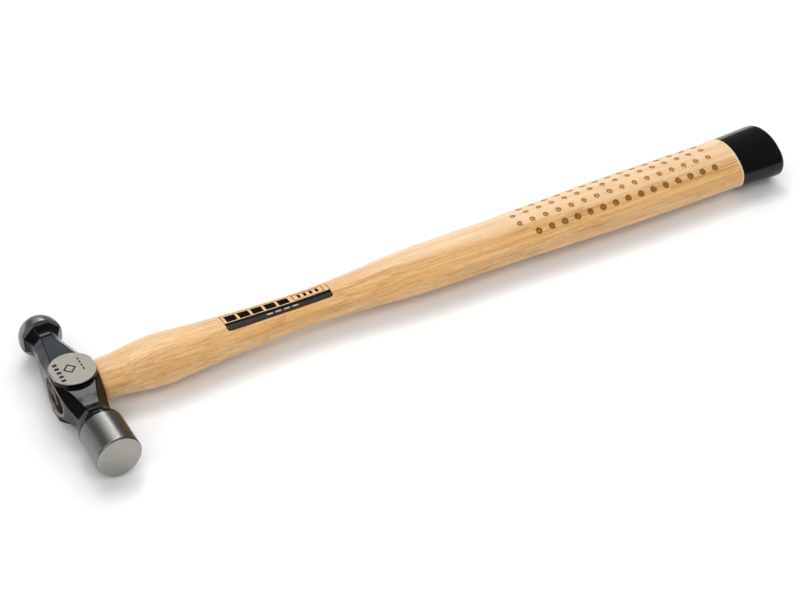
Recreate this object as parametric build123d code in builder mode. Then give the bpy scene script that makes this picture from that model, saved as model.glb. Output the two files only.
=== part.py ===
"""Ball peen hammer of the 3.5 oz class, lying on its side.

Frame: X runs along the handle towards the butt, Y along the head towards the ball,
Z up through the two flat cheeks.  The origin is in the middle of the overall length
and of the head, on the surface that the lower cheek rests on.
"""
from build123d import *
import math
import os

# ---------------------------------------------------------------- head
head_length = 79.2            # struck face to the tip of the ball
poll_radius = 8.2
poll_shoulder_y = -24.2       # where the ground poll ends and rounds over
poll_neck_y = -19.9           # slimmest point of the poll neck
poll_neck_radius = 6.85       # round envelope just outside the neck's corners
face_bevel = 0.7
ball_radius = 7.9
ball_rim_y = 29.9             # back of the ball's rim
cheek_height = 18.4           # across the two ground cheeks
cheek_radius = 8.5
cheek_flat = 7.95             # eye centre to the straight sides of the cheeks
cheek_edge_round = 0.2
cheek_foot_round = 0.3
eye_face = 8.25               # eye centre to the crown of each ground eye face
stock = 9.4                   # forging half width that stays outside poll and ball
slab_reach = 16.0             # half depth of each profile's slab, past everything
facet_round = 0.5

# Half sizes of the octagonal forging along the head, as (y, half size).
# All three profiles share the flare into the poll and the cove behind the ball.
poll_flare = [(-41.0, stock), (-32.0, stock), (-24.6, stock), (-22.0, 7.5), (-19.9, 6.3)]
ball_cove = [(24.1, 5.1), (26.3, 5.05), (28.5, 5.95), (29.9, 6.95), (32.5, stock), (41.0, stock)]
cheek_profile = [(-17.2, 6.0), (-15.0, 6.25), (-12.6, 6.75), (-8.7, 7.35), (0.0, 8.0), (8.7, 7.5), (16.4, 6.3)]
side_profile = [(-17.2, 6.15), (-15.0, 6.5), (-12.6, 7.05), (-8.7, 7.7), (0.0, eye_face), (8.7, 7.4), (16.4, 6.4)]
corner_profile = [(-17.2, 6.15), (-15.0, 6.65), (-12.6, 7.45), (-8.7, 8.75), (-4.35, 10.3), (0.0, 11.0),
                  (4.35, 10.3), (8.7, 8.9), (12.6, 7.8), (16.4, 6.95)]

# Plain stamped marks on the upper cheek: a column of plates, a diamond, a column of dashes.
stamp_depth = 0.15
plate_x, plate_y, plate_size, plate_pitch, plate_count = -4.9, -0.2, (1.7, 1.2), 2.2, 5
diamond_x, diamond_y, diamond_radii = -0.8, 0.4, (2.5, 1.7)
dash_x, dash_y, dash_size, dash_pitch, dash_count = 3.6, 1.2, (0.6, 1.2), 1.9, 4

# ---------------------------------------------------------------- eye and wedges
eye_mouth = (8.3, 6.0)        # half sizes of the oval eye (Y, Z) at both faces
eye_waist = (7.7, 5.5)        # and at its narrowest, in the middle of the head
eye_chamfer = 0.35
eye_overshoot = 1.0           # the bore runs on past both faces by this much
eye_recess = 0.8              # how far the handle's end stands back from the crown
wood_wedge_depth = 12.5
wood_wedge_width = 13.0
wood_wedge_thick = (2.4, 0.4)     # at the end of the handle and at its thin edge
steel_wedge_depth = 8.0
steel_wedge_width = 7.0
steel_wedge_thick = (1.9, 0.3)
steel_wedge_turn = 62.0           # degrees from the wooden wedge

# ---------------------------------------------------------------- handle
shoulder_x = 8.3              # eye centre to where the shaft widens out of the eye
butt_x = 295.2                # eye centre to the end of the butt
butt_round = 2.2
dip_x = 275.7                 # eye centre to the start of the black dipped end
dip_film = 0.25               # thickness of the dipped coat

# Handle sections as (distance from the eye centre, half depth Y, half thickness Z, facet).
# The facet share goes from 0, a plain oval, to 1, a soft octagon.
handle_sections = [
    (shoulder_x, 8.6, 6.2, 0.0), (16.4, 9.0, 6.65, 0.0), (24.1, 10.15, 7.65, 0.0),
    (30.9, 10.7, 8.25, 0.0), (39.6, 10.2, 7.75, 0.0), (54.0, 9.0, 7.05, 0.1),
    (71.5, 7.9, 6.4, 0.2), (91.7, 7.4, 6.1, 0.3), (109.0, 8.3, 6.7, 0.5),
    (128.5, 9.95, 7.55, 0.8), (148.0, 10.65, 7.8, 1.0), (174.0, 11.0, 7.8, 1.0),
    (198.0, 11.7, 8.3, 1.0), (227.0, 12.35, 8.7, 1.0), (253.0, 12.35, 8.7, 0.8),
    (dip_x, 12.45, 8.7, 0.3), (287.0, 13.1, 9.05, 0.25),
    (butt_x - butt_round, 13.3, cheek_height / 2, 0.2)]
facet_tilt = math.radians(30)     # slope of the octagon's long chamfers
facet_depth = 0.94                # their distance as a share of the oval's
facet_power = 16                  # higher is crisper
section_points = 40

# Printed film on the upper chamfer, as seen from above.
label_start, label_end = 57.2, 99.4     # from the eye centre
label_inner_y, label_outer_y = -1.2, -5.0
label_corner = 1.3
label_film = 0.08

# ---------------------------------------------------------------- worked-out sizes
overall_length = eye_face + butt_x
eye_x = eye_face - overall_length / 2
axis_z = cheek_height / 2
half_head = head_length / 2
ball_y = half_head - ball_radius
handle_end = eye_face - eye_recess
clear_width = 4 * eye_face

head_centre = (eye_x, 0, axis_z)
side_plane = Plane(head_centre, x_dir=(0, 1, 0), z_dir=(1, 0, 0))     # local x, y = Y, Z
plan_plane = Plane(head_centre, x_dir=(0, 1, 0), z_dir=(0, 0, -1))    # local x, y = Y, X
corner_planes = [Plane(head_centre, x_dir=(0, 1, 0), z_dir=(1, 0, -1)),
                 Plane(head_centre, x_dir=(0, 1, 0), z_dir=(-1, 0, -1))]
cheek_plane = Plane((eye_x, 0, cheek_height))                         # local x, y = X, Y


def forging_profile(middle):
    """Sketch of one forging profile, the same on both sides of the head's axis."""
    with BuildSketch() as profile:
        with BuildLine():
            upper = Spline(poll_flare + middle + ball_cove)
            Line(upper @ 0, ((upper @ 0).X, 0))
            Line(upper @ 1, ((upper @ 1).X, 0))
            mirror(about=Plane.XZ)
        make_face()
    return profile.sketch


def cross_plane(x):
    """Plane across the handle, at x from the eye centre: local x, y = Y, Z."""
    return Plane((eye_x + x, 0, axis_z), x_dir=(0, 1, 0), z_dir=(1, 0, 0))


def section_radius(angle, half_depth, half_thick, facet):
    """Distance from the handle's axis to its surface, in one direction."""
    y, z = math.cos(angle), math.sin(angle)
    oval = math.hypot(y / half_depth, z / half_thick)
    lean_y, lean_z = math.sin(facet_tilt), math.cos(facet_tilt)
    chamfer = facet_depth * math.hypot(lean_y * half_depth, lean_z * half_thick)
    sides = [y / half_depth, z / half_thick,
             (lean_y * y + lean_z * z) / chamfer, (lean_y * y - lean_z * z) / chamfer]
    octagon = sum(abs(side) ** facet_power for side in sides) ** (1 / facet_power)
    return 1 / ((1 - facet) * oval + facet * octagon)


def handle_outline(half_depth, half_thick, facet):
    """Points of one handle section, anticlockwise."""
    outline = []
    for step in range(section_points):
        angle = 2 * math.pi * step / section_points
        radius = section_radius(angle, half_depth, half_thick, facet)
        outline.append((radius * math.cos(angle), radius * math.sin(angle)))
    return outline


def handle_section(x, half_depth, half_thick, facet):
    """Sketch of one handle section, at x from the eye centre."""
    with BuildSketch(cross_plane(x)) as section:
        with BuildLine():
            Spline(handle_outline(half_depth, half_thick, facet), periodic=True)
        make_face()
    return section.sketch


def handle_loft(inset=0.0):
    """The handle from the head to where its end rounds over, with its sides moved in by inset."""
    with BuildPart() as blank:
        for x, half_depth, half_thick, facet in handle_sections:
            add(handle_section(x, half_depth - inset, half_thick - inset, facet))
        loft()
    return blank.part


def rounded_end(inset=0.0):
    """The last stretch of the butt, where its edge rounds over."""
    x, half_depth, half_thick, facet = handle_sections[-1]
    radius = butt_round - inset
    with BuildPart() as end:
        for degrees in (0, 25, 50, 70, 85):
            turn = math.radians(degrees)
            shrink = inset + radius * (1 - math.cos(turn))
            add(handle_section(x + radius * math.sin(turn), half_depth - shrink, half_thick - shrink, facet))
        loft()
    return end.part


def dipped_stretch(inset=0.0):
    """The butt from the start of the dip to its end, with its surface moved in by inset."""
    with BuildPart() as stretch:
        add(handle_loft(inset))
        with BuildSketch(cross_plane(dip_x)):
            Rectangle(clear_width, clear_width)
        extrude(amount=-butt_x, mode=Mode.SUBTRACT)
        add(rounded_end(inset))
    return stretch.part


def wedge_solid(depth, width, thick, turn):
    """Wedge driven into the handle's end, its broad faces turned from the Y direction."""
    with BuildPart() as wedge:
        for x, thickness in ((-handle_end, thick[0]), (-handle_end + depth, thick[1])):
            with BuildSketch(cross_plane(x)):
                Rectangle(width, thickness, rotation=turn)
        loft()
    return wedge.part


def is_cheek_foot(edge):
    """Whether an edge is one of the four long arcs where a cheek meets the forging."""
    middle = edge.position_at(0.5)
    on_wall = abs(abs(middle.Y) - cheek_radius) < cheek_foot_round
    below_rim = abs(middle.Z - axis_z) < cheek_height / 2 - 2 * cheek_edge_round
    return edge.length > cheek_radius and on_wall and below_rim and abs(middle.X - eye_x) < facet_round


def is_eye_rim(edge):
    """Whether an edge runs round one mouth of the eye."""
    long_enough = edge.length > 4 * eye_mouth[1]
    near_face = abs(edge.position_at(0.5).X - eye_x) < eye_face + eye_chamfer
    return long_enough and near_face and edge.bounding_box().size.Y < 2 * eye_mouth[0] + eye_chamfer


# ---------------------------------------------------------------- head
with BuildPart() as eye_bore:
    bore_reach = eye_face + eye_overshoot
    for x, (half_y, half_z) in ((-bore_reach, eye_mouth), (0, eye_waist), (bore_reach, eye_mouth)):
        with BuildSketch(cross_plane(x)):
            Ellipse(half_y, half_z)
    loft()

with BuildPart() as head:
    # The octagonal bar: four slabs that cross on the head's axis.
    with BuildSketch(side_plane.offset(-slab_reach)):
        add(forging_profile(cheek_profile))
    extrude(amount=2 * slab_reach)
    with BuildSketch(plan_plane.offset(-slab_reach)):
        add(forging_profile(side_profile))
    extrude(amount=2 * slab_reach, mode=Mode.INTERSECT)
    for plane in corner_planes:
        with BuildSketch(plane.offset(-slab_reach)):
            add(forging_profile(corner_profile))
        extrude(amount=2 * slab_reach, mode=Mode.INTERSECT)
    fillet(head.edges().filter_by(lambda edge: edge.length > head_length), facet_round)

    # Everything that is turned about the head's axis: poll, its shoulder, and ball.
    with BuildSketch(plan_plane):
        with BuildLine():
            bevel = [(-half_head, poll_radius - face_bevel), (-half_head + face_bevel, poll_radius)]
            Line((-half_head, 0), bevel[0])
            RadiusArc(bevel[0], bevel[1], face_bevel)
            Line(bevel[1], (poll_shoulder_y, poll_radius))
            shoulder = TangentArc((poll_shoulder_y, poll_radius), (poll_neck_y, poll_neck_radius),
                                  tangent=(1, 0))
            Polyline(shoulder @ 1, (poll_neck_y, slab_reach), (ball_rim_y, slab_reach),
                     (ball_rim_y, ball_radius), (ball_y, ball_radius))
            RadiusArc((ball_y, ball_radius), (half_head, 0), ball_radius)
            Line((half_head, 0), (-half_head, 0))
        make_face()
    revolve(axis=Axis(head_centre, (0, 1, 0)), mode=Mode.INTERSECT)

    # The cheeks stand proud of the forging and are ground flat.
    with BuildSketch(plan_plane.offset(-cheek_height / 2)):
        Circle(cheek_radius)
        Rectangle(2 * cheek_radius, 2 * cheek_flat, mode=Mode.INTERSECT)
    extrude(amount=cheek_height)
    cheek_edges = head.edges().filter_by_position(Axis.Z, cheek_height, cheek_height)
    cheek_edges += head.edges().filter_by_position(Axis.Z, 0, 0)
    fillet(cheek_edges, cheek_edge_round)
    cheek_arc = head.edges().filter_by(is_cheek_foot)
    fillet(cheek_arc, cheek_foot_round)

    add(eye_bore.part, mode=Mode.SUBTRACT)
    chamfer(head.edges().filter_by(is_eye_rim), eye_chamfer)

    with BuildSketch(cheek_plane):
        with Locations((plate_x, plate_y)):
            with GridLocations(0, plate_pitch, 1, plate_count):
                Rectangle(*plate_size)
        with Locations((diamond_x, diamond_y)):
            RegularPolygon(diamond_radii[0], 4)
            RegularPolygon(diamond_radii[1], 4, mode=Mode.SUBTRACT)
        with Locations((dash_x, dash_y)):
            with GridLocations(0, dash_pitch, 1, dash_count):
                Rectangle(*dash_size)
    extrude(amount=-stamp_depth, mode=Mode.SUBTRACT)
head.part.label = "head"

# ---------------------------------------------------------------- wedges
with BuildPart() as steel_wedge:
    add(wedge_solid(steel_wedge_depth, steel_wedge_width, steel_wedge_thick, steel_wedge_turn))
steel_wedge.part.label = "steel_wedge"

with BuildPart() as wooden_wedge:
    add(wedge_solid(wood_wedge_depth, wood_wedge_width, wood_wedge_thick, 0))
    add(steel_wedge.part, mode=Mode.SUBTRACT)
wooden_wedge.part.label = "wooden_wedge"

# ---------------------------------------------------------------- handle, dip and label
with BuildPart() as butt_dip:
    add(dipped_stretch())
    add(dipped_stretch(dip_film), mode=Mode.SUBTRACT)
butt_dip.part.label = "butt_dip"

with BuildPart() as handle:
    # The tenon fills the eye, from the recessed end to the far eye face.
    add(eye_bore.part)
    with BuildSketch(cross_plane(-handle_end)):
        Rectangle(clear_width, clear_width)
    extrude(amount=handle_end + shoulder_x, mode=Mode.INTERSECT)
    for wedge in (wooden_wedge, steel_wedge):
        add(wedge.part, mode=Mode.SUBTRACT)
    # The shaft, cut off where the dip starts, and the core that the dip covers.
    add(handle_loft())
    with BuildSketch(cross_plane(dip_x)):
        Rectangle(clear_width, clear_width)
    extrude(amount=butt_x, mode=Mode.SUBTRACT)
    add(dipped_stretch(dip_film))
handle.part.label = "handle"

with BuildPart() as label_band:
    add(handle_loft(-label_film))
    with BuildSketch(Plane((eye_x, 0, axis_z))):
        with BuildLine():
            outline = FilletPolyline((label_start, label_inner_y), (label_start, label_outer_y),
                                     (label_end, label_outer_y), (label_end, label_inner_y),
                                     radius=label_corner)
            Line(outline @ 1, outline @ 0)
        make_face()
    extrude(amount=cheek_height, mode=Mode.INTERSECT)
    add(handle_loft(), mode=Mode.SUBTRACT)
label_band.part.label = "label_band"

print("overall", overall_length, "head grams", head.part.volume * 7.85e-3)
os.makedirs("parts", exist_ok=True)
for piece in (head, steel_wedge, wooden_wedge, handle, butt_dip, label_band):
    export_step(piece.part, "parts/" + piece.part.label + ".step")
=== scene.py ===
"""Looks of the ball peen hammer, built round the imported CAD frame."""

import bpy
import math
import numpy as np
from mathutils import Matrix, Vector


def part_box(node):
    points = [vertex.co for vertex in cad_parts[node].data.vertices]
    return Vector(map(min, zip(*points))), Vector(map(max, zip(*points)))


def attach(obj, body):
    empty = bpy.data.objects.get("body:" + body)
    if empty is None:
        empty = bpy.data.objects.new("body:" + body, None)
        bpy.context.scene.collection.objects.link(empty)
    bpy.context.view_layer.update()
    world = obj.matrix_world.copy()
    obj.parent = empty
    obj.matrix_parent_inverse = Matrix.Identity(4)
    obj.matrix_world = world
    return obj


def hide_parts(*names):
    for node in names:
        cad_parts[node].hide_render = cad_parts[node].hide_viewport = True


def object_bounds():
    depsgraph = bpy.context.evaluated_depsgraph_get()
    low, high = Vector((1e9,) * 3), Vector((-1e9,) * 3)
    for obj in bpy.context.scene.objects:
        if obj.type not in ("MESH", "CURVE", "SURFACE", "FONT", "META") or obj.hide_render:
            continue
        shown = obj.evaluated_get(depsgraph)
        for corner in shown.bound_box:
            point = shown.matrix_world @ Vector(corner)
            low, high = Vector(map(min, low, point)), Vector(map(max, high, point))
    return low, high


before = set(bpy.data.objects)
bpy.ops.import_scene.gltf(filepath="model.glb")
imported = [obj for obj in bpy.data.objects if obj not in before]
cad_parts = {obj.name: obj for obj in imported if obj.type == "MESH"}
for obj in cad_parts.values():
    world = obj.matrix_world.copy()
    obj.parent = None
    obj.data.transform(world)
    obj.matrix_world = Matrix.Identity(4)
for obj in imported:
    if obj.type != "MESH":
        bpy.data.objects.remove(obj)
cad_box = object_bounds()

MM = 0.001

# ------------------------------------------------------------------ places read from the frame
head_low, head_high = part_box("head")
dip_low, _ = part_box("butt_dip")
EYE = (head_low + head_high) / 2          # middle of the eye, and of the head
DIP_X = (dip_low.x - EYE.x) / MM          # eye to the start of the dipped end, in mm
FLOOR_Z = cad_box[0].z

# ------------------------------------------------------------------ the handle, in mm from the eye
# Sections as in the CAD part: distance from the eye, half depth, half thickness, facet.
SECTIONS = [
    (8.3, 8.6, 6.2, 0.0), (16.4, 9.0, 6.65, 0.0), (24.1, 10.15, 7.65, 0.0), (30.9, 10.7, 8.25, 0.0),
    (39.6, 10.2, 7.75, 0.0), (54.0, 9.0, 7.05, 0.1), (71.5, 7.9, 6.4, 0.2), (91.7, 7.4, 6.1, 0.3),
    (109.0, 8.3, 6.7, 0.5), (128.5, 9.95, 7.55, 0.8), (148.0, 10.65, 7.8, 1.0), (174.0, 11.0, 7.8, 1.0),
    (198.0, 11.7, 8.3, 1.0), (227.0, 12.35, 8.7, 1.0), (253.0, 12.35, 8.7, 0.8), (275.7, 12.45, 8.7, 0.3),
    (287.0, 13.1, 9.05, 0.25)]
FACET_TILT = math.radians(30)
FACET_DEPTH = 0.94                # how far out the tilted facets are, as a share of the oval
FACET_POWER = 16                  # the higher, the sharper the edges between facets

SHAFT_START = 8.3                 # X of the first section, just outside the head
EYE_MOUTH = (8.3, 6.0)            # half sizes of the eye at the head's faces
EYE_OVERLAP = 2.0                 # the shaft begins this far before SHAFT_START, inside the eye
MOUTH_STEP = 0.3                  # length along X in which it widens to the first section
COLUMNS = 180
COARSE_STEP = 1.0
FINE_STEP = 0.36
DIP_OVERLAP = 1.6                 # how far the wood runs on under the dipped coat
DIP_INSET = 0.3
DIP_LIP = 0.02                    # length along X in which the wood steps in by DIP_INSET
HUB_RADIUS = 0.2                  # radius of the small last ring, under the coat

TENON_END = -7.45                 # end of the handle in the eye
TENON_HALF = (8.08, 5.82)         # half sizes of the tenon's end
TENON_LENGTH = 3.0                # length of the piece that shows the sawn end
TENON_TAPER = 0.1
TENON_RINGS = 26                  # with the middle point as the first
TENON_TURNS = 96
MIDDLE_SINK = 0.1                 # depths below TENON_END: of the middle point,
SAW_SINK = 0.12                   # of the sawn face,
SPREAD_SINK = 0.35                # and what is added at its edge
SPREAD_POWER = 12                 # the higher, the closer to the edge that starts
SAW_ROUGHNESS = 0.03

# ------------------------------------------------------------------ the burned dots, in mm
DOT_FIRST_X = 178.9
DOT_PITCH = 5.716
DOT_COUNT = 16                    # in each inner row; the outer rows start one pitch later
DOT_INNER_RADIUS = 1.15
DOT_OUTER_RADIUS = 1.35
DOT_DEPTH = 0.2
DOT_HOLLOW = 1.5                  # shape of the dimple: the higher, the wider its soft edge
DOT_INNER_Y = 2.53
DOT_OUTER_Y = 7.43
DOTS_FAR = 9.0                    # in dot radii: for vertices that no dot is nearer to
DOTS_NEAR = 3.0                   # in dot radii: the material's attribute goes no higher

# ------------------------------------------------------------------ the label
# X in mm from the eye; angles in degrees round the handle, from +Y towards +Z; lifts off the wood in mm.
LABEL_START, LABEL_END = 57.2, 99.4
INK_LIFT = 0.03
BAND_LIFT = 0.06
FILM_BOTTOM = -0.02               # underside of the films, just inside the wood
PATCH_STEP = 0.7                  # about the spacing of a film's vertices along X
PATCH_TURN = 2.0                  # and round the handle
BAND_ANGLES = (100.5, 129.0)
BAND_CORNER = 1.4
CORNER_START = 0.75               # share of the band's width at which its lower corners begin
FRAME_LINE = 0.22
FRAME_SIDE_ANGLES = (60.0, 100.5)
FRAME_TOP_ANGLES = (58.6, 60.2)
BLOCK_COUNT = 5
BLOCK_FIRST_X = LABEL_START + 1.3
BLOCK_PITCH = 5.2
BLOCK_LENGTH = 4.2
BLOCK_ANGLES = (67.0, 97.0)
EMBLEM_START, EMBLEM_END = LABEL_START + 28.0, LABEL_END - 2.0
EMBLEM_ANGLES = (66.0, 97.0)
EMBLEM_LINE = 0.3
EMBLEM_LINE_TURN = 1.6
BAR_COUNT = 4
BAR_FIRST_X = LABEL_START + 30.0
BAR_PITCH = 2.4
BAR_LENGTH = 1.1
BAR_ANGLES = (72.0, 91.0)
DASH_COUNT = 4
DASH_FIRST_X = LABEL_START + 16.0
DASH_PITCH = 3.4
DASH_LENGTH = 2.4
DASH_ANGLES = (113.5, 118.5)

# ------------------------------------------------------------------ where the looks change
# Each pair is where a smooth change starts and where it is complete, in mm from the eye.
CHEEK_GROUND = (8.93, 9.03)       # distance in Z of the ground cheeks
STAMP_DEPTH = (9.17, 9.1)         # distance in Z under which a cheek is sunk by its marks
STAMP_SIDES = (7.7, 7.55)         # distance in X: the marks stay clear of the cheek's straight sides
STAMP_RIM = (8.25, 8.15)          # and of its round rim
STAMPED_SIDE = (0.0, 1.0)         # Z: only the upper cheek is stamped
EYE_FACE = (7.15, 7.3)            # distance in X of the faces round the eye
EYE_RING_HALF = (9.15, 6.95)      # half sizes of the ring that is ground there
EYE_RING_EDGE = (1.03, 0.98)      # and its edge, in squared shares of those
POLL_GROUND = (-24.2, -24.5)      # Y
BALL_GROUND = (29.8, 29.95)       # Y
STRUCK_FACE = (-39.35, -39.5)     # Y
POLL_SHADE = (3.0, 6.5)           # X over which painted shade darkens the poll towards the handle
PALE_BELOW = (1.0, -6.0)          # Z of the wood's paler underside
PAINTED_SHEEN_TOP = (6.5, 7.8)             # Z of its top, made paler by a painted sheen
PAINTED_SHEEN_GRIP = (95.0, 150.0)         # X over which that painted sheen on the top grows stronger
PALE_SIDE = (0.5, 6.5)            # Y of its paler side
PALE_AT_DIP = (-1.1, -0.2)        # X of its pale end, from the dipped coat
DARK_DOTS = (-4.5, -5.5)          # Y beyond which the dots are darker
INK_FADE = 0.3                    # width in Y of the change to the blackest film: black print on the marks, a painted dark reflection on the band's upper edge

FLOOR_HALF = 3.0                  # in metres
FLOOR_CELLS = 12


# ------------------------------------------------------------------ the handle's surface
def section_at(x):
    """Half depth, half thickness and facet share of the handle at x, by cubic interpolation."""
    table = np.array(SECTIONS)
    stations = table[:, 0]
    slopes = np.gradient(table[:, 1:], stations, axis=0)
    i = int(np.clip(np.searchsorted(stations, x) - 1, 0, len(stations) - 2))
    span = stations[i + 1] - stations[i]
    t = (x - stations[i]) / span
    low, high = table[i, 1:], table[i + 1, 1:]
    value = ((1 + 2 * t) * (1 - t) ** 2 * low + t * (1 - t) ** 2 * span * slopes[i]
             + t * t * (3 - 2 * t) * high + t * t * (t - 1) * span * slopes[i + 1])
    return value[0], value[1], float(np.clip(value[2], 0, 1))


def handle_radius(x, angle):
    """Distance from the handle's axis to its surface, in mm; angle runs from +Y towards +Z."""
    depth, thick, facet = section_at(x)
    y, z = np.cos(angle), np.sin(angle)
    oval = np.hypot(y / depth, z / thick)
    lean_y, lean_z = math.sin(FACET_TILT), math.cos(FACET_TILT)
    chamfer = FACET_DEPTH * math.hypot(lean_y * depth, lean_z * thick)
    sides = [y / depth, z / thick, (lean_y * y + lean_z * z) / chamfer, (lean_y * y - lean_z * z) / chamfer]
    octagon = sum(np.abs(side) ** FACET_POWER for side in sides) ** (1 / FACET_POWER)
    return 1 / ((1 - facet) * oval + facet * octagon)


def eye_point(x, y, z):
    """Point of the frame, in metres, from mm from the middle of the eye."""
    return Vector((EYE.x + x * MM, EYE.y + y * MM, EYE.z + z * MM))


def handle_point(x, angle, lift):
    """Point of the frame, in metres, on the handle's surface or lifted off it; x and lift in mm."""
    radius = handle_radius(x, angle) + lift
    return eye_point(x, radius * np.cos(angle), radius * np.sin(angle))


def angle_of(x, across, upper):
    """Angle at which the handle's surface has the given Y, on its upper or lower side."""
    low, high = (0.0, math.pi) if upper else (-math.pi, 0.0)
    for _ in range(40):
        middle = (low + high) / 2
        y = handle_radius(x, middle) * math.cos(middle)
        if (y > across) == upper:
            low = middle
        else:
            high = middle
    return (low + high) / 2


# ------------------------------------------------------------------ mesh helpers
def add_piece(name, vertices, faces, slot, node):
    """Makes a smooth mesh piece that rides on the only body and stands for a CAD node."""
    mesh = bpy.data.meshes.new(name)
    mesh.from_pydata([tuple(v) for v in vertices], [], faces)
    mesh.validate()
    mesh.update()
    mesh.polygons.foreach_set("use_smooth", [True] * len(mesh.polygons))
    piece = bpy.data.objects.new(name, mesh)
    bpy.context.scene.collection.objects.link(piece)
    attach(piece, "root")
    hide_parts(node)
    return piece


def grid_faces(rows, columns, closed=False):
    """Quads between consecutive rows of a grid of vertices."""
    faces = []
    last = columns if closed else columns - 1
    for row in range(rows - 1):
        for column in range(last):
            beside = (column + 1) % columns
            faces.append((row * columns + column, row * columns + beside,
                          (row + 1) * columns + beside, (row + 1) * columns + column))
    return faces


# ------------------------------------------------------------------ node helpers
class Nodes:
    """A material's node tree, with short calls for the nodes that are used here."""

    def __init__(self, name):
        self.material = bpy.data.materials.new(name)
        self.material.use_nodes = True
        self.tree = self.material.node_tree
        self.shader = self.tree.nodes["Principled BSDF"]
        self.coords = self.tree.nodes.new("ShaderNodeTexCoord").outputs["Object"]

    def put(self, socket, value):
        """Links another node's output to the socket, or sets a number or colour on it."""
        if hasattr(value, "is_output"):
            self.tree.links.new(value, socket)
        else:
            socket.default_value = value

    def math(self, operation, a, b=0.0, c=0.0):
        """Number that a Math node makes of up to three others."""
        node = self.tree.nodes.new("ShaderNodeMath")
        node.operation = operation
        for socket, value in zip(node.inputs, (a, b, c)):
            self.put(socket, value)
        return node.outputs[0]

    def squares(self, a, b):
        """Sum of the squares of two numbers."""
        return self.math("ADD", self.math("POWER", a, 2.0), self.math("POWER", b, 2.0))

    def split(self, vector):
        """X, Y and Z of a vector."""
        node = self.tree.nodes.new("ShaderNodeSeparateXYZ")
        self.put(node.inputs[0], vector)
        return node.outputs

    def local(self):
        """X, Y and Z in mm from the middle of the eye."""
        node = self.tree.nodes.new("ShaderNodeMapping")
        node.vector_type = "POINT"
        self.put(node.inputs["Vector"], self.coords)
        node.inputs["Location"].default_value = [-value / MM for value in EYE]
        node.inputs["Scale"].default_value = (1 / MM,) * 3
        return node.outputs[0]

    def stretch(self, vector, scale, offset=(0, 0, 0)):
        """Vector scaled along each axis, then moved by an offset."""
        node = self.tree.nodes.new("ShaderNodeMapping")
        self.put(node.inputs["Vector"], vector)
        node.inputs["Location"].default_value = offset
        node.inputs["Scale"].default_value = scale
        return node.outputs[0]

    def noise(self, vector, scale=1.0, detail=3.0, roughness=0.55, distortion=0.0):
        """Cloudy noise, about 0.5 on average."""
        node = self.tree.nodes.new("ShaderNodeTexNoise")
        self.put(node.inputs["Vector"], vector)
        node.inputs["Scale"].default_value = scale
        node.inputs["Detail"].default_value = detail
        node.inputs["Roughness"].default_value = roughness
        node.inputs["Distortion"].default_value = distortion
        return node.outputs["Fac"]

    def step(self, value, start, end, to_low=0.0, to_high=1.0):
        """Smooth change from to_low to to_high as value goes from start to end."""
        node = self.tree.nodes.new("ShaderNodeMapRange")
        node.interpolation_type = "SMOOTHSTEP"
        for key, number in (("Value", value), ("From Min", start), ("From Max", end),
                            ("To Min", to_low), ("To Max", to_high)):
            self.put(node.inputs[key], number)
        return node.outputs[0]

    def mix(self, factor, a, b):
        """Colour between a and b."""
        node = self.tree.nodes.new("ShaderNodeMix")
        node.data_type = "RGBA"
        self.put(node.inputs["Factor"], factor)
        for key, value in (("A", a), ("B", b)):
            socket = next(s for s in node.inputs if s.name == key and s.type == "RGBA")
            self.put(socket, (*value, 1.0) if isinstance(value, tuple) else value)
        return next(s for s in node.outputs if s.type == "RGBA")

    def blend(self, factor, a, b):
        """Number between a and b."""
        node = self.tree.nodes.new("ShaderNodeMix")
        self.put(node.inputs["Factor"], factor)
        self.put(node.inputs["A"], a)
        self.put(node.inputs["B"], b)
        return node.outputs["Result"]

    def attribute(self, name):
        """Number that the mesh keeps for each vertex under this name."""
        node = self.tree.nodes.new("ShaderNodeAttribute")
        node.attribute_name = name
        return node.outputs["Fac"]

    def bump(self, height, distance, strength):
        """Normal bent by a height, of which 1 stands for distance in mm."""
        node = self.tree.nodes.new("ShaderNodeBump")
        node.inputs["Distance"].default_value = distance * MM
        self.put(node.inputs["Strength"], strength)
        self.put(node.inputs["Height"], height)
        return node.outputs[0]

    def set(self, **sockets):
        """Fills the shader's sockets, named with _ for each space, and gives the material back."""
        for key, value in sockets.items():
            socket = self.shader.inputs[key.replace("_", " ")]
            self.put(socket, (*value, 1.0) if isinstance(value, tuple) and len(value) == 3 else value)
        return self.material


def paint(piece, material):
    """Gives a piece one material all over."""
    piece.data.materials.clear()
    piece.data.materials.append(material)


# ------------------------------------------------------------------ the head's material
def ground_zones(n, place):
    """How far each place is on a ground cheek, on a ring round the eye, on the poll and on the ball."""
    x, y, z = n.split(place)
    wander = n.math("MULTIPLY_ADD", n.noise(place, 0.35, 2.0), 0.5, -0.25)
    half_y, half_z = EYE_RING_HALF
    oval = n.squares(n.math("DIVIDE", y, half_y), n.math("DIVIDE", z, half_z))
    ring_edge = n.math("ADD", oval, n.math("MULTIPLY", wander, 0.4))
    cheek = n.step(n.math("ABSOLUTE", z), *CHEEK_GROUND)
    ring = n.math("MULTIPLY", n.step(ring_edge, *EYE_RING_EDGE), n.step(n.math("ABSOLUTE", x), *EYE_FACE))
    return cheek, ring, n.step(y, *POLL_GROUND), n.step(y, *BALL_GROUND)


def stamped_marks(n, place, cheek):
    """How far each place is in the marks that are sunk into the upper cheek."""
    x, y, z = n.split(place)
    inside = n.math("MULTIPLY", n.step(n.math("ABSOLUTE", x), *STAMP_SIDES),
                    n.step(n.math("SQRT", n.squares(x, y)), *STAMP_RIM))
    sunk = n.math("MULTIPLY", n.step(n.math("ABSOLUTE", z), *STAMP_DEPTH), n.math("MULTIPLY", cheek, inside))
    return n.math("MULTIPLY", sunk, n.step(z, *STAMPED_SIDE))


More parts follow.
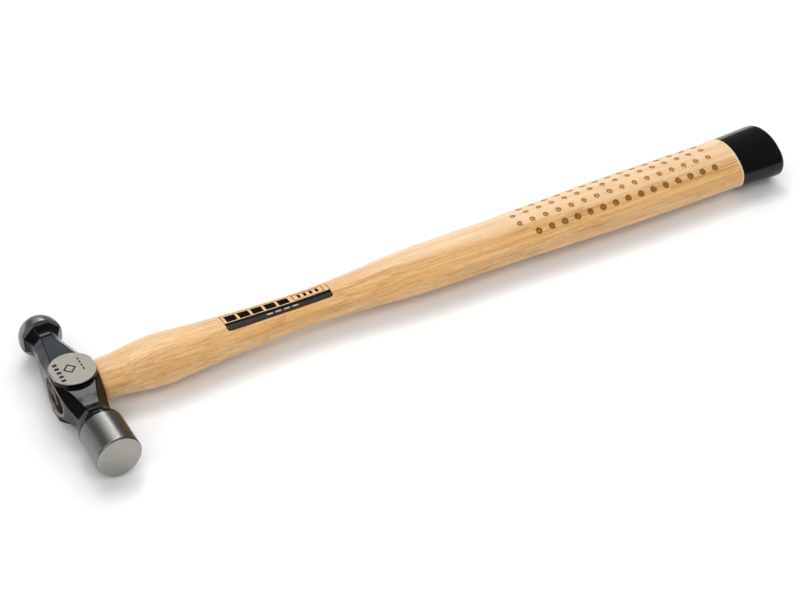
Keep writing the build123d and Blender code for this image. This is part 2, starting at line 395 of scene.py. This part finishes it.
def head_material():
    """Black lacquer on the forging, bright ground steel on cheeks, eye faces, poll and ball, with painted
    shade on the poll's side towards the handle.
    """
    n = Nodes("forged_steel")
    place = n.local()
    x, y, _ = n.split(place)
    cheek, ring, poll, ball = ground_zones(n, place)
    ends = n.math("MAXIMUM", poll, ball)
    ground = n.math("MAXIMUM", n.math("MAXIMUM", cheek, ring), ends)
    stamped = stamped_marks(n, place, cheek)
    struck_face = n.step(y, *STRUCK_FACE)

    turned = n.noise(n.stretch(place, (0.25, 22.0, 0.25)), 1.0, 4.0, 0.7)
    crossed = n.noise(n.stretch(place, (0.6, 0.6, 14.0)), 1.0, 3.0, 0.7)
    cloudy = n.noise(place, 0.45, 4.0, 0.6)
    fine = n.step(turned, 0.3, 0.75)
    speck = n.step(n.noise(place, 2.5, 3.0, 0.6), 0.3, 0.75)
    # painted shade: the poll, but not its struck face, darkens towards the handle
    shaded = n.math("MULTIPLY", n.math("SUBTRACT", poll, struck_face), n.step(x, *POLL_SHADE, 0.0, 0.85))

    turned_steel = n.mix(fine, (0.16, 0.158, 0.148), (0.28, 0.275, 0.257))
    struck_steel = n.mix(speck, (0.32, 0.31, 0.282), (0.41, 0.4, 0.365))
    cheek_steel = n.mix(fine, (0.19, 0.18, 0.16), (0.27, 0.258, 0.23))
    hazy_steel = (0.16, 0.152, 0.135)
    painted_shade_steel = (0.035, 0.033, 0.03)
    ring_steel = (0.3, 0.27, 0.235)
    stamp_black = (0.012, 0.011, 0.011)
    steel = n.mix(struck_face, turned_steel, struck_steel)
    steel = n.mix(cheek, steel, cheek_steel)
    steel = n.mix(n.step(cloudy, 0.35, 0.75, 0.0, 0.12), steel, hazy_steel)
    # painted shade on the poll's side towards the handle
    steel = n.mix(shaded, steel, painted_shade_steel)
    steel = n.mix(ring, steel, ring_steel)
    steel = n.mix(stamped, steel, stamp_black)
    lacquer = n.mix(n.step(cloudy, 0.35, 0.7), (0.002, 0.002, 0.0025), (0.004, 0.004, 0.005))
    color = n.mix(ground, lacquer, steel)

    polish = n.blend(ball, n.blend(poll, 0.42, 0.3), 0.3)
    polish = n.math("ADD", polish, n.step(turned, 0.2, 0.8, -0.05, 0.08))
    gloss = n.step(cloudy, 0.3, 0.7, 0.07, 0.14)
    rough = n.blend(stamped, n.blend(ground, gloss, polish), 0.6)
    metal = n.math("MULTIPLY", ground, n.math("SUBTRACT", 1.0, stamped))

    waves = n.noise(place, 0.5, 2.0, 0.5)
    scratches = n.math("ADD", n.math("MULTIPLY", turned, 0.3), n.math("MULTIPLY", crossed, 0.15))
    normal = n.bump(n.blend(ground, waves, scratches), 0.06, 0.35)
    return n.set(Base_Color=color, Metallic=metal, Roughness=rough, Normal=normal, IOR=1.29)


# ------------------------------------------------------------------ the wood's materials
def ash_grain(n, place):
    """Colour of the straight grain along X, with the streaks and pores that also make its relief."""
    drift = n.noise(n.stretch(place, (0.02, 0.12, 0.12)), 1.0, 2.0)
    bands = n.noise(n.stretch(place, (0.016, 0.75, 0.75)), 1.0, 4.0, 0.65, 0.5)
    streaks = n.noise(n.stretch(place, (0.045, 1.9, 1.9)), 1.0, 4.0, 0.68, 0.3)
    pores = n.noise(n.stretch(place, (0.3, 3.4, 3.4), (3.0, 1.0, 2.0)), 1.0, 4.0, 0.7)
    gold = n.noise(n.stretch(place, (0.035, 0.2, 0.2), (7.0, 2.0, 5.0)), 1.0, 3.0, 0.6, 0.4)
    growth = n.noise(n.stretch(place, (0.006, 0.16, 0.11), (1.0, 4.0, 2.0)), 1.0, 1.5, 0.5, 0.2)
    growth_rings = 16.0
    late_wood = n.step(n.math("FRACT", n.math("MULTIPLY", growth, growth_rings)), 0.62, 0.97)
    late_share = n.math("MULTIPLY", late_wood, n.step(streaks, 0.3, 0.6, 0.35, 0.8))

    pale, tan = (0.78, 0.5, 0.232), (0.6, 0.33, 0.115)
    golden = (0.72, 0.375, 0.095)
    streak_brown, streak_cream = (0.44, 0.2, 0.055), (0.86, 0.61, 0.33)
    late_brown = (0.45, 0.205, 0.055)
    pore_brown, pore_cream = (0.28, 0.115, 0.035), (0.93, 0.69, 0.4)
    drift_tan = (0.76, 0.43, 0.17)
    color = n.mix(n.step(bands, 0.36, 0.66), pale, tan)
    color = n.mix(n.step(gold, 0.42, 0.62, 0.0, 0.55), color, golden)
    color = n.mix(n.step(streaks, 0.47, 0.68, 0.0, 0.7), color, streak_brown)
    color = n.mix(n.step(streaks, 0.5, 0.25, 0.0, 0.45), color, streak_cream)
    color = n.mix(late_share, color, late_brown)
    color = n.mix(n.step(pores, 0.55, 0.66, 0.0, 0.55), color, pore_brown)
    color = n.mix(n.step(pores, 0.46, 0.34, 0.0, 0.3), color, pore_cream)
    color = n.mix(n.step(drift, 0.35, 0.65, 0.0, 0.3), color, drift_tan)
    return color, streaks, pores


def ash_material():
    """Varnished ash, paler on some of its sides, with a painted sheen on its top and the burned dots of the
    grip.
    """
    n = Nodes("varnished_ash")
    place = n.local()
    x, y, z = n.split(place)
    color, streaks, pores = ash_grain(n, place)

    # painted sheen: the top of the handle is paler, most of all on the grip
    painted_top_sheen = n.math("MULTIPLY", n.step(z, *PAINTED_SHEEN_TOP), n.step(x, *PAINTED_SHEEN_GRIP, 0.1, 0.35))
    dip_from, dip_to = (DIP_X + distance for distance in PALE_AT_DIP)
    color = n.mix(n.step(z, *PALE_BELOW, 0.0, 0.6), color, (0.95, 0.65, 0.39))
    color = n.mix(painted_top_sheen, color, (0.9, 0.72, 0.5))
    color = n.mix(n.step(y, *PALE_SIDE, 0.0, 0.5), color, (0.87, 0.72, 0.52))
    color = n.mix(n.step(x, dip_from, dip_to, 0.0, 0.7), color, (0.86, 0.66, 0.42))

    # the dots have an uneven edge and a darker rim
    uneven = n.step(n.noise(place, 1.6, 2.0), 0.3, 0.7, -0.14, 0.14)
    reach = n.math("ADD", n.attribute("dot_distance"), uneven)
    burned = n.step(reach, 1.12, 0.86)
    scorched = n.math("MULTIPLY", burned, n.step(n.noise(place, 0.9, 2.0), 0.3, 0.7, 0.7, 0.95))
    rim = n.math("MULTIPLY", n.step(reach, 0.35, 0.7), n.step(reach, 1.1, 0.86))
    dot_brown = n.mix(n.step(y, *DARK_DOTS), (0.43, 0.2, 0.03), (0.19, 0.066, 0.006))
    rim_brown = (0.13, 0.042, 0.004)
    color = n.mix(scorched, color, dot_brown)
    color = n.mix(n.math("MULTIPLY", rim, 0.6), color, rim_brown)

    relief = n.math("ADD", n.math("MULTIPLY", streaks, 0.6), n.math("MULTIPLY", pores, 0.5))
    rough = n.blend(burned, n.step(streaks, 0.3, 0.7, 0.36, 0.48), 0.9)
    varnish = n.math("MULTIPLY", n.math("SUBTRACT", 1.0, burned), 0.25)
    return n.set(Base_Color=color, Roughness=rough, Normal=n.bump(relief, 0.03, 0.35),
                 Coat_Weight=varnish, Coat_Roughness=0.32)


def end_grain_material(name, light, dark, offset):
    """End grain soaked dark, with pores in rows and patches of dried varnish."""
    n = Nodes(name)
    place = n.local()
    _, y, z = n.split(place)
    rows = n.noise(n.stretch(place, (0.3, 0.5, 2.6), offset), 1.0, 3.0, 0.6, 0.6)
    pores = n.noise(place, 4.5, 2.0, 0.5)
    pore_black = (0.02, 0.011, 0.006)
    color = n.mix(n.step(rows, 0.35, 0.65), dark, light)
    color = n.mix(n.step(pores, 0.56, 0.68, 0.0, 0.8), color, pore_black)
    relief = n.math("SUBTRACT", rows, n.step(pores, 0.52, 0.68))
    slope = n.math("MULTIPLY_ADD", y, 0.6, n.math("MULTIPLY_ADD", z, 0.8, n.math("MULTIPLY", rows, 3.0)))
    varnished = n.step(slope, 0.0, 2.5)
    rough = n.blend(varnished, 0.95, n.step(rows, 0.3, 0.7, 0.3, 0.5))
    return n.set(Base_Color=color, Roughness=rough, Normal=n.bump(relief, 0.15, 0.6),
                 Coat_Weight=n.math("MULTIPLY", varnished, 0.2), Coat_Roughness=0.2, IOR=1.15)


# ------------------------------------------------------------------ the other materials
def wedge_steel_material():
    """Bare steel with dark and bright scuffs."""
    n = Nodes("wedge_steel")
    scuffs = n.noise(n.stretch(n.local(), (1.0, 5.0, 2.0)), 1.0, 4.0, 0.65)
    color = n.mix(n.step(scuffs, 0.35, 0.7), (0.07, 0.066, 0.063), (0.2, 0.195, 0.19))
    return n.set(Base_Color=color, Metallic=1.0, Roughness=n.step(scuffs, 0.3, 0.7, 0.35, 0.55),
                 Normal=n.bump(scuffs, 0.05, 0.5))


def dip_material():
    """Thick glossy black coat with faint sags and dust."""
    n = Nodes("dip_coat")
    place = n.local()
    sags = n.noise(n.stretch(place, (0.12, 0.3, 0.3)), 1.0, 2.0)
    dust = n.noise(place, 6.0, 3.0, 0.6)
    color = n.mix(n.step(dust, 0.62, 0.8), (0.002, 0.002, 0.0025), (0.012, 0.012, 0.013))
    relief = n.math("ADD", sags, n.math("MULTIPLY", dust, 0.02))
    return n.set(Base_Color=color, Roughness=n.step(dust, 0.4, 0.75, 0.14, 0.24),
                 Normal=n.bump(relief, 0.12, 0.5), IOR=1.36)


def ink_material(name, base, rough, wear, shine, dark_from=9.0):
    """Printed film with small worn places; it is matt and blackest where Y is over dark_from: on the marks
    that black is the print, on the band's upper edge it is a painted dark reflection.

    The label ends well before a Y of 9 mm, so the film is the same all over if dark_from isn't given.
    """
    n = Nodes(name)
    place = n.local()
    _, y, _ = n.split(place)
    worn = n.noise(n.stretch(place, (0.8, 3.0, 3.0)), 1.0, 4.0, 0.7)
    speckle = n.noise(place, 9.0, 2.0, 0.6)
    dark = n.step(y, dark_from - INK_FADE, dark_from)
    wood_brown = (0.3, 0.17, 0.08)
    dust_grey = (0.07, 0.055, 0.045)
    print_and_painted_reflection_black = (0.003, 0.002, 0.002)
    color = n.mix(n.step(worn, 0.6, 0.78, 0.0, wear), base, wood_brown)
    color = n.mix(n.step(speckle, 0.6, 0.75, 0.0, 0.3), color, dust_grey)
    # blackest where Y is over dark_from: black print on the marks, a painted dark reflection on the band's
    # upper edge
    color = n.mix(n.math("MULTIPLY", dark, 0.85), color, print_and_painted_reflection_black)
    uneven_rough = n.step(worn, 0.3, 0.7, rough, rough + 0.12)
    return n.set(Base_Color=color, Roughness=n.blend(dark, uneven_rough, 0.95),
                 Normal=n.bump(worn, 0.02, 0.4), Specular_IOR_Level=shine)


def floor_material():
    """Pale matt floor, slightly uneven in tone."""
    n = Nodes("pale_floor")
    soft = n.noise(n.local(), 0.004, 2.0)
    return n.set(Base_Color=n.mix(soft, (0.86, 0.86, 0.86), (0.9, 0.9, 0.9)), Roughness=0.9)


# ------------------------------------------------------------------ the handle's shaft
def dot_places():
    """Radius and centre of each burned dot, in mm from the eye: four rows above, four below."""
    places = []
    for upper in (True, False):
        for across in (-DOT_OUTER_Y, -DOT_INNER_Y, DOT_INNER_Y, DOT_OUTER_Y):
            outer = abs(across) == DOT_OUTER_Y
            size = DOT_OUTER_RADIUS if outer else DOT_INNER_RADIUS
            for i in range(1 if outer else 0, DOT_COUNT):
                x = DOT_FIRST_X + i * DOT_PITCH
                angle = angle_of(x, across, upper)
                radius = handle_radius(x, angle)
                places.append((size, (x, radius * math.cos(angle), radius * math.sin(angle))))
    return places


def shaft_stations():
    """X of each ring of vertices outside the eye: close together where the dots are."""
    dots_from = DOT_FIRST_X - 2 * DOT_OUTER_RADIUS
    dots_to = DOT_FIRST_X + (DOT_COUNT - 1) * DOT_PITCH + 2 * DOT_OUTER_RADIUS
    before = np.arange(SHAFT_START, dots_from, COARSE_STEP)
    among = np.arange(dots_from, dots_to, FINE_STEP)
    after = np.arange(dots_to, DIP_X, COARSE_STEP)
    return np.concatenate((before, among, after))


def shaft_rings(angles):
    """X and radii of each ring of vertices, from inside the eye to under the dipped coat."""
    mouth = 1 / np.hypot(np.cos(angles) / EYE_MOUTH[0], np.sin(angles) / EYE_MOUTH[1])
    in_eye = SHAFT_START - EYE_OVERLAP
    rings = [(in_eye, mouth * 0.02), (in_eye, mouth * 0.94), (SHAFT_START - MOUTH_STEP, mouth * 0.96)]
    for x in shaft_stations():
        rings.append((x, handle_radius(x, angles)))
    for x, inset in ((DIP_X, 0.0), (DIP_X + DIP_LIP, DIP_INSET), (DIP_X + DIP_OVERLAP, DIP_INSET)):
        rings.append((x, handle_radius(x, angles) - inset))
    rings.append((DIP_X + DIP_OVERLAP, np.full(COLUMNS, HUB_RADIUS)))
    return rings


def build_shaft():
    """The wooden shaft, with its dots pressed in."""
    angles = np.arange(COLUMNS) * 2 * math.pi / COLUMNS
    rings = shaft_rings(angles)
    points = np.concatenate([np.column_stack((np.full(COLUMNS, x), radius * np.cos(angles),
                                              radius * np.sin(angles))) for x, radius in rings])
    nearest = np.full(len(points), DOTS_FAR)
    for size, centre in dot_places():
        nearest = np.minimum(nearest, np.linalg.norm(points - np.array(centre), axis=1) / size)
    press = DOT_DEPTH * np.clip(1 - nearest ** 2, 0, 1) ** DOT_HOLLOW
    radial = np.hypot(points[:, 1], points[:, 2])
    points[:, 1:] *= (1 - press / np.maximum(radial, 1.0))[:, None]

    vertices = points * MM + np.array(EYE)
    faces = grid_faces(len(rings), COLUMNS, closed=True)
    faces.append(tuple(range(COLUMNS - 1, -1, -1)))
    faces.append(tuple(range(len(points) - COLUMNS, len(points))))
    shaft = add_piece("handle_shaft", vertices, [face[::-1] for face in faces], "varnished_ash", "handle")
    attribute = shaft.data.attributes.new("dot_distance", "FLOAT", "POINT")
    attribute.data.foreach_set("value", np.minimum(nearest, DOTS_NEAR).astype(np.float32))
    paint(shaft, ash_material())


# ------------------------------------------------------------------ the handle's end in the eye
def build_tenon_end():
    """Sawn end of the handle in the eye: rough, and rounded off at its edge."""
    rng = np.random.default_rng(7)
    rough = rng.normal(0, SAW_ROUGHNESS, (TENON_RINGS, TENON_TURNS))
    half_y, half_z = TENON_HALF
    angles = [2 * math.pi * turn / TENON_TURNS for turn in range(TENON_TURNS)]
    vertices = [eye_point(TENON_END + MIDDLE_SINK, 0.0, 0.0)]
    for ring in range(1, TENON_RINGS):
        share = ring / (TENON_RINGS - 1)
        for turn, angle in enumerate(angles):
            sink = SAW_SINK + SPREAD_SINK * share ** SPREAD_POWER + rough[ring, turn]
            vertices.append(eye_point(TENON_END + sink, half_y * share * math.cos(angle),
                                      half_z * share * math.sin(angle)))
    back = len(vertices)
    for angle in angles:
        vertices.append(eye_point(TENON_END + TENON_LENGTH, (half_y - TENON_TAPER) * math.cos(angle),
                                  (half_z - TENON_TAPER) * math.sin(angle)))
    faces = [(0, 1 + (turn + 1) % TENON_TURNS, 1 + turn) for turn in range(TENON_TURNS)]
    for ring in range(TENON_RINGS - 1):
        inner = 1 + ring * TENON_TURNS
        outer = inner + TENON_TURNS
        for turn in range(TENON_TURNS):
            beside = (turn + 1) % TENON_TURNS
            faces.append((inner + turn, inner + beside, outer + beside, outer + turn))
    faces.append(tuple(back + turn for turn in range(TENON_TURNS)))
    end = add_piece("handle_end", vertices, faces, "varnished_ash", "handle")
    light, dark = (0.055, 0.031, 0.019), (0.014, 0.009, 0.007)
    paint(end, end_grain_material("soaked_end_grain", light, dark, (0, 0, 0)))


# ------------------------------------------------------------------ the printed label
def corner_cut(share, corner):
    """How much of a patch's ends is cut off at this share of its width, to round its last corners."""
    bend = max(0.0, (share - CORNER_START) / (1 - CORNER_START))
    return corner * (1 - math.sqrt(1 - bend ** 2))


def patch_grid(x_low, x_high, angle_low, angle_high, lift, corner=0.0):
    """Vertices and faces of one film patch on the handle; angles in degrees, the rest in mm."""
    columns = max(2, int((x_high - x_low) / PATCH_STEP) + 1)
    rows = max(3, int((angle_high - angle_low) / PATCH_TURN) + 1)
    vertices = []
    for level in (lift, FILM_BOTTOM):
        for row in range(rows):
            share = row / (rows - 1)
            angle = math.radians(angle_low + (angle_high - angle_low) * share)
            cut = corner_cut(share, corner)
            for column in range(columns):
                x = x_low + (x_high - x_low) * column / (columns - 1)
                x = min(max(x, x_low + cut), x_high - cut)
                vertices.append(handle_point(x, angle, level))
    size = rows * columns
    top = grid_faces(rows, columns)
    faces = [face[::-1] for face in top] + [tuple(i + size for i in face) for face in top]
    rim = list(range(columns))
    rim += [row * columns + columns - 1 for row in range(1, rows)]
    rim += [size - 1 - column for column in range(1, columns)]
    rim += [(rows - 1 - row) * columns for row in range(1, rows - 1)]
    for i, here in enumerate(rim):
        there = rim[(i + 1) % len(rim)]
        faces.append((here, there, there + size, here + size))
    return vertices, faces


def patch_row(count, first_x, pitch, length, angles, lift):
    """Equal patches, one after the other along the handle."""
    patches = []
    for i in range(count):
        x = first_x + i * pitch
        patches.append(patch_grid(x, x + length, *angles, lift))
    return patches


def join_patches(patches):
    """One list of vertices and faces from several patches."""
    vertices, faces = [], []
    for some_vertices, some_faces in patches:
        start = len(vertices)
        vertices += some_vertices
        faces += [tuple(i + start for i in face) for face in some_faces]
    return vertices, faces


def frame_patches():
    """Thin frame above the band."""
    patches = [patch_grid(x, x + FRAME_LINE, *FRAME_SIDE_ANGLES, INK_LIFT)
               for x in (LABEL_START, LABEL_END - FRAME_LINE)]
    patches.append(patch_grid(LABEL_START, LABEL_END, *FRAME_TOP_ANGLES, INK_LIFT))
    return patches


def emblem_patches():
    """Small plain emblem: a box of thin lines with bars in it."""
    low, high = EMBLEM_ANGLES
    patches = [patch_grid(EMBLEM_START, EMBLEM_END, angle, angle + EMBLEM_LINE_TURN, INK_LIFT)
               for angle in (low, high - EMBLEM_LINE_TURN)]
    patches += [patch_grid(x, x + EMBLEM_LINE, low, high, INK_LIFT)
                for x in (EMBLEM_START, EMBLEM_END - EMBLEM_LINE)]
    return patches + patch_row(BAR_COUNT, BAR_FIRST_X, BAR_PITCH, BAR_LENGTH, BAR_ANGLES, INK_LIFT)


def build_label():
    """Black printed band with pale dashes, and above it a thin frame, plain blocks and an emblem."""
    band = patch_grid(LABEL_START, LABEL_END, *BAND_ANGLES, BAND_LIFT, BAND_CORNER)
    piece = add_piece("label_band_film", *band, "label_print", "label_band")
    # the band is blackest above a Y of -2.3 mm: a painted dark reflection on its upper edge
    paint(piece, ink_material("label_black", (0.03, 0.022, 0.018), 0.3, 0.1, 0.3, -2.3))

    blocks = patch_row(BLOCK_COUNT, BLOCK_FIRST_X, BLOCK_PITCH, BLOCK_LENGTH, BLOCK_ANGLES, INK_LIFT)
    marks = join_patches(frame_patches() + blocks + emblem_patches())
    piece = add_piece("label_marks", *marks, "label_print", "label_band")
    paint(piece, ink_material("label_ink", (0.012, 0.008, 0.006), 0.6, 0.4, 0.12, -1.7))

    dashes = patch_row(DASH_COUNT, DASH_FIRST_X, DASH_PITCH, DASH_LENGTH, DASH_ANGLES, BAND_LIFT + INK_LIFT)
    piece = add_piece("label_dashes", *join_patches(dashes), "label_print", "label_band")
    paint(piece, ink_material("label_pale", (0.46, 0.42, 0.37), 0.4, 0.0, 0.3))


# ------------------------------------------------------------------ stage, lights and camera
def add_floor():
    """Plain floor, at the height on which the hammer lies."""
    spots = [-FLOOR_HALF + 2 * FLOOR_HALF * i / FLOOR_CELLS for i in range(FLOOR_CELLS + 1)]
    mesh = bpy.data.meshes.new("floor")
    mesh.from_pydata([(x, y, FLOOR_Z) for y in spots for x in spots], [], grid_faces(len(spots), len(spots)))
    floor = bpy.data.objects.new("floor", mesh)
    bpy.context.scene.collection.objects.link(floor)
    paint(floor, floor_material())


def add_softbox(name, place, size, power, aim=None, color=(1, 1, 1), mirrored=True):
    """Area light at a place given from the head, facing the head or along aim.

    Sizes are in metres and power in watts. Reflections show the light only if it is mirrored.
    """
    data = bpy.data.lights.new(name, "AREA")
    data.shape = "RECTANGLE"
    data.size, data.size_y = size
    data.energy = power
    data.color = color
    lamp = bpy.data.objects.new(name, data)
    lamp.location = Vector(place) + EYE
    lamp.rotation_euler = Vector(aim or [-value for value in place]).to_track_quat("-Z", "Y").to_euler()
    lamp.visible_glossy = mirrored
    bpy.context.scene.collection.objects.link(lamp)


def add_studio():
    """Soft lights and a faint white sky; two lights show in no reflection, to keep the black parts black."""
    down = (0, 0, -1)
    cool, cooler = (0.8, 0.9, 1.0), (0.75, 0.88, 1.0)
    add_softbox("overhead", (0.1, 0.68, 1.4), (1.0, 0.78), 8.0, aim=down)
    add_softbox("facet_box", (0.26, 0.78, 1.26), (0.46, 0.3), 2.5)
    add_softbox("key_box", (0.49, 0.96, 0.81), (0.27, 0.3), 1.7)
    add_softbox("back_box", (0.24, 1.15, 0.54), (0.62, 0.36), 0.95, color=cool)
    add_softbox("right_box", (1.25, 0.7, 1.25), (1.3, 1.2), 10.5, mirrored=False)
    add_softbox("left_box", (-1.0, -0.3, 1.3), (1.2, 1.1), 8.0)
    add_softbox("front_fill", (0.15, -1.25, 1.25), (1.9, 1.4), 14.5, mirrored=False)
    add_softbox("low_strip", (-0.62, 1.0, 0.13), (0.6, 0.24), 0.9, color=cooler)
    world = bpy.data.worlds.new("studio")
    world.use_nodes = True
    sky = world.node_tree.nodes["Background"]
    sky.inputs["Color"].default_value = (1, 1, 1, 1)
    sky.inputs["Strength"].default_value = 0.2
    bpy.context.scene.world = world
    bpy.context.scene.view_settings.view_transform = "Standard"


def add_camera():
    """Camera of the picture: fitted place and turn, with a normal 36 mm sensor."""
    right = Vector((0.87510, -0.48395, 0.0004))
    up = Vector((0.30705, 0.55584, 0.77250))
    back = right.cross(up)
    place = Vector((-0.17554, -0.55038, 0.50553)) + EYE
    data = bpy.data.cameras.new("camera")
    data.lens = 98.346
    data.sensor_width = 36.0
    data.clip_start = 0.01
    camera = bpy.data.objects.new("camera", data)
    camera.matrix_world = Matrix.Translation(place) @ Matrix((right, up, back)).transposed().to_4x4()
    bpy.context.scene.collection.objects.link(camera)
    bpy.context.scene.camera = camera


# ------------------------------------------------------------------ build
wedge_light, wedge_dark = (0.09, 0.052, 0.03), (0.03, 0.018, 0.011)
wedge_wood = end_grain_material("wedge_end_grain", wedge_light, wedge_dark, (5.0, 3.0, 1.0))
paint(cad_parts["head"], head_material())
paint(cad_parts["wooden_wedge"], wedge_wood)
paint(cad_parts["steel_wedge"], wedge_steel_material())
paint(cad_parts["butt_dip"], dip_material())
build_shaft()
build_tenon_end()
build_label()
add_floor()
add_studio()
add_camera()
